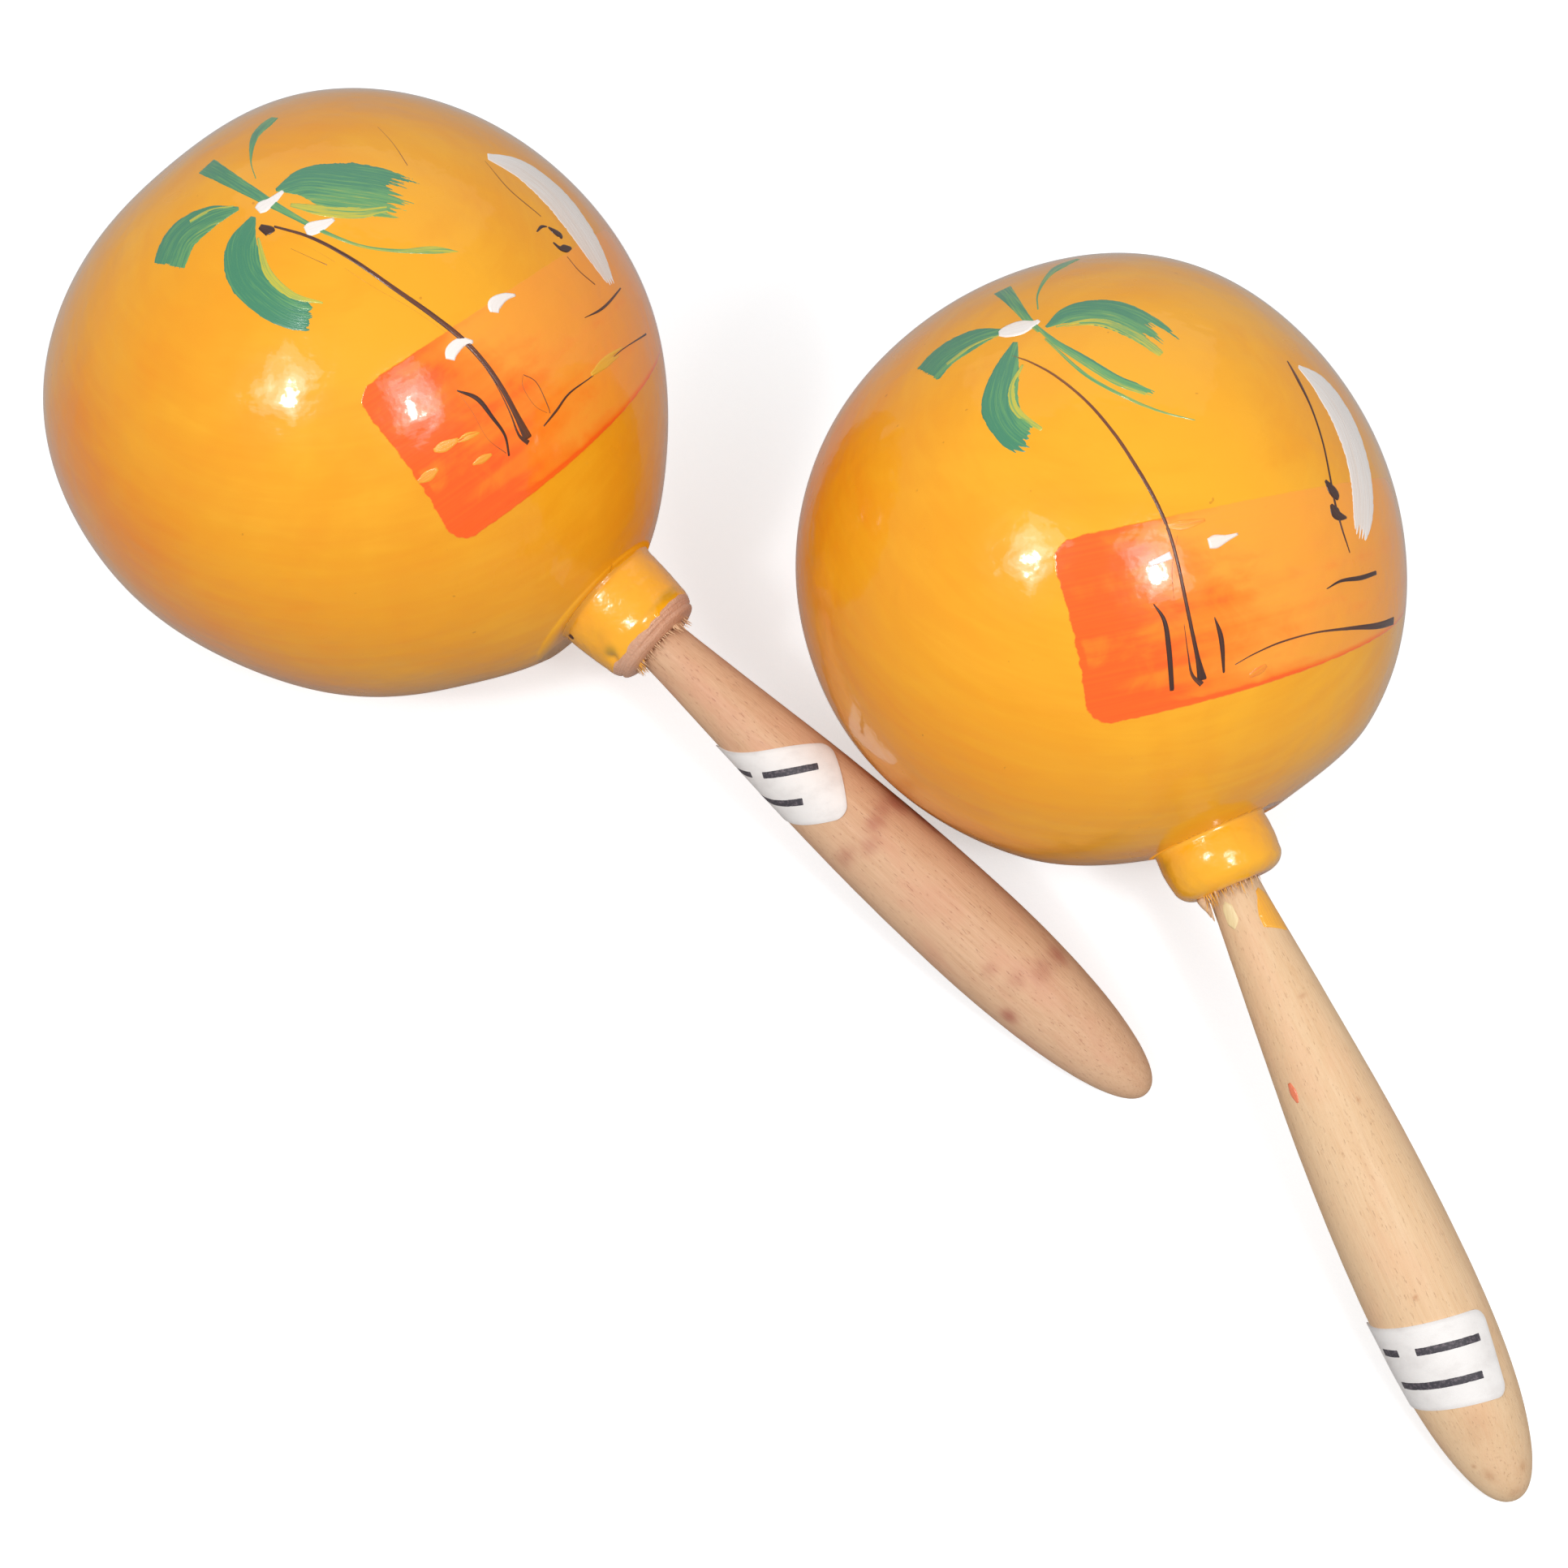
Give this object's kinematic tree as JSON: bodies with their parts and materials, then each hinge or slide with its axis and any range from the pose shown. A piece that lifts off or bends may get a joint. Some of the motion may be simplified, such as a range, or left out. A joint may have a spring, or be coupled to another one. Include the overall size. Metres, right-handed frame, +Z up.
{
  "type": "pair of maracas",
  "caption": "Pair of hand-painted gourd rattles with loose seeds, turned collars and turned wooden handles, lying side by side.",
  "frame": {"origin": "middle of the pair's outline on the surface that both maracas lie on", "axes": "+X to the right along the pair's longest side, +Y away from the viewer, +Z up from the surface"},
  "size_m": [0.2842, 0.2688, 0.122],
  "materials": {
    "painted_gourd": "dried gourd under glossy yellow and orange lacquer",
    "painted_collar": "soft wood under glossy yellow-orange lacquer, bare at the end",
    "left_handle_wood": "turned tan wood, thin satin varnish, dark stains",
    "right_handle_wood": "turned pale wood, thin satin varnish, specks of paint",
    "brad_steel": "dull dark steel",
    "label_paper": null,
    "seed": "smooth dark seed",
    "leaf_paint": "dark green brushed enamel",
    "trunk_paint": "dark brown brushed enamel",
    "white_paint": "white brushed enamel",
    "sea_paint": "thin orange-red brushed enamel",
    "wood_fibre": "torn wood fibre"
  },
  "bodies": {
    "left_maraca": {"left_gourd": "painted_gourd", "left_collar": "painted_collar", "left_handle": "left_handle_wood", "left_brads": "brad_steel", "left_label": "label_paper"},
    "right_maraca": {"right_gourd": "painted_gourd", "right_collar": "painted_collar", "right_handle": "right_handle_wood", "right_brads": "brad_steel", "right_label": "label_paper"},
    "left_seed_1_loose": {"left_seed_1": "seed"},
    "left_seed_2_loose": {"left_seed_2": "seed"},
    "left_seed_3_loose": {"left_seed_3": "seed"},
    "left_seed_4_loose": {"left_seed_4": "seed"},
    "left_seed_5_loose": {"left_seed_5": "seed"},
    "left_seed_6_loose": {"left_seed_6": "seed"},
    "left_seed_7_loose": {"left_seed_7": "seed"},
    "left_seed_8_loose": {"left_seed_8": "seed"},
    "left_seed_9_loose": {"left_seed_9": "seed"},
    "left_seed_10_loose": {"left_seed_10": "seed"},
    "left_seed_11_loose": {"left_seed_11": "seed"},
    "left_seed_12_loose": {"left_seed_12": "seed"},
    "right_seed_1_loose": {"right_seed_1": "seed"},
    "right_seed_2_loose": {"right_seed_2": "seed"},
    "right_seed_3_loose": {"right_seed_3": "seed"},
    "right_seed_4_loose": {"right_seed_4": "seed"},
    "right_seed_5_loose": {"right_seed_5": "seed"},
    "right_seed_6_loose": {"right_seed_6": "seed"},
    "right_seed_7_loose": {"right_seed_7": "seed"},
    "right_seed_8_loose": {"right_seed_8": "seed"},
    "right_seed_9_loose": {"right_seed_9": "seed"},
    "right_seed_10_loose": {"right_seed_10": "seed"},
    "right_seed_11_loose": {"right_seed_11": "seed"},
    "right_seed_12_loose": {"right_seed_12": "seed"}
  },
  "joints": [
    {"name": "right_maraca_lift", "type": "slide", "parent": "left_maraca", "child": "right_maraca", "axis": [0, 0, 1], "range_m": [0, 0.15]},
    {"name": "left_seed_1_rattle", "type": "slide", "parent": "left_maraca", "child": "left_seed_1_loose", "axis": [0, 0, 1], "range_m": [0, 0.1083]},
    {"name": "left_seed_2_rattle", "type": "slide", "parent": "left_maraca", "child": "left_seed_2_loose", "axis": [0, 0, 1], "range_m": [0, 0.1079]},
    {"name": "left_seed_3_rattle", "type": "slide", "parent": "left_maraca", "child": "left_seed_3_loose", "axis": [0, 0, 1], "range_m": [0, 0.1076]},
    {"name": "left_seed_4_rattle", "type": "slide", "parent": "left_maraca", "child": "left_seed_4_loose", "axis": [0, 0, 1], "range_m": [0, 0.1073]},
    {"name": "left_seed_5_rattle", "type": "slide", "parent": "left_maraca", "child": "left_seed_5_loose", "axis": [0, 0, 1], "range_m": [0, 0.107]},
    {"name": "left_seed_6_rattle", "type": "slide", "parent": "left_maraca", "child": "left_seed_6_loose", "axis": [0, 0, 1], "range_m": [0, 0.1067]},
    {"name": "left_seed_7_rattle", "type": "slide", "parent": "left_maraca", "child": "left_seed_7_loose", "axis": [0, 0, 1], "range_m": [0, 0.1063]},
    {"name": "left_seed_8_rattle", "type": "slide", "parent": "left_maraca", "child": "left_seed_8_loose", "axis": [0, 0, 1], "range_m": [0, 0.106]},
    {"name": "left_seed_9_rattle", "type": "slide", "parent": "left_maraca", "child": "left_seed_9_loose", "axis": [0, 0, 1], "range_m": [0, 0.1057]},
    {"name": "left_seed_10_rattle", "type": "slide", "parent": "left_maraca", "child": "left_seed_10_loose", "axis": [0, 0, 1], "range_m": [0, 0.1053]},
    {"name": "left_seed_11_rattle", "type": "slide", "parent": "left_maraca", "child": "left_seed_11_loose", "axis": [0, 0, 1], "range_m": [0, 0.1051]},
    {"name": "left_seed_12_rattle", "type": "slide", "parent": "left_maraca", "child": "left_seed_12_loose", "axis": [0, 0, 1], "range_m": [0, 0.1047]},
    {"name": "right_seed_1_rattle", "type": "slide", "parent": "right_maraca", "child": "right_seed_1_loose", "axis": [0, 0, 1], "range_m": [0, 0.1043]},
    {"name": "right_seed_2_rattle", "type": "slide", "parent": "right_maraca", "child": "right_seed_2_loose", "axis": [0, 0, 1], "range_m": [0, 0.1039]},
    {"name": "right_seed_3_rattle", "type": "slide", "parent": "right_maraca", "child": "right_seed_3_loose", "axis": [0, 0, 1], "range_m": [0, 0.1036]},
    {"name": "right_seed_4_rattle", "type": "slide", "parent": "right_maraca", "child": "right_seed_4_loose", "axis": [0, 0, 1], "range_m": [0, 0.1032]},
    {"name": "right_seed_5_rattle", "type": "slide", "parent": "right_maraca", "child": "right_seed_5_loose", "axis": [0, 0, 1], "range_m": [0, 0.1029]},
    {"name": "right_seed_6_rattle", "type": "slide", "parent": "right_maraca", "child": "right_seed_6_loose", "axis": [0, 0, 1], "range_m": [0, 0.1026]},
    {"name": "right_seed_7_rattle", "type": "slide", "parent": "right_maraca", "child": "right_seed_7_loose", "axis": [0, 0, 1], "range_m": [0, 0.1022]},
    {"name": "right_seed_8_rattle", "type": "slide", "parent": "right_maraca", "child": "right_seed_8_loose", "axis": [0, 0, 1], "range_m": [0, 0.1019]},
    {"name": "right_seed_9_rattle", "type": "slide", "parent": "right_maraca", "child": "right_seed_9_loose", "axis": [0, 0, 1], "range_m": [0, 0.1016]},
    {"name": "right_seed_10_rattle", "type": "slide", "parent": "right_maraca", "child": "right_seed_10_loose", "axis": [0, 0, 1], "range_m": [0, 0.1012]},
    {"name": "right_seed_11_rattle", "type": "slide", "parent": "right_maraca", "child": "right_seed_11_loose", "axis": [0, 0, 1], "range_m": [0, 0.1009]},
    {"name": "right_seed_12_rattle", "type": "slide", "parent": "right_maraca", "child": "right_seed_12_loose", "axis": [0, 0, 1], "range_m": [0, 0.1005]}
  ]
}
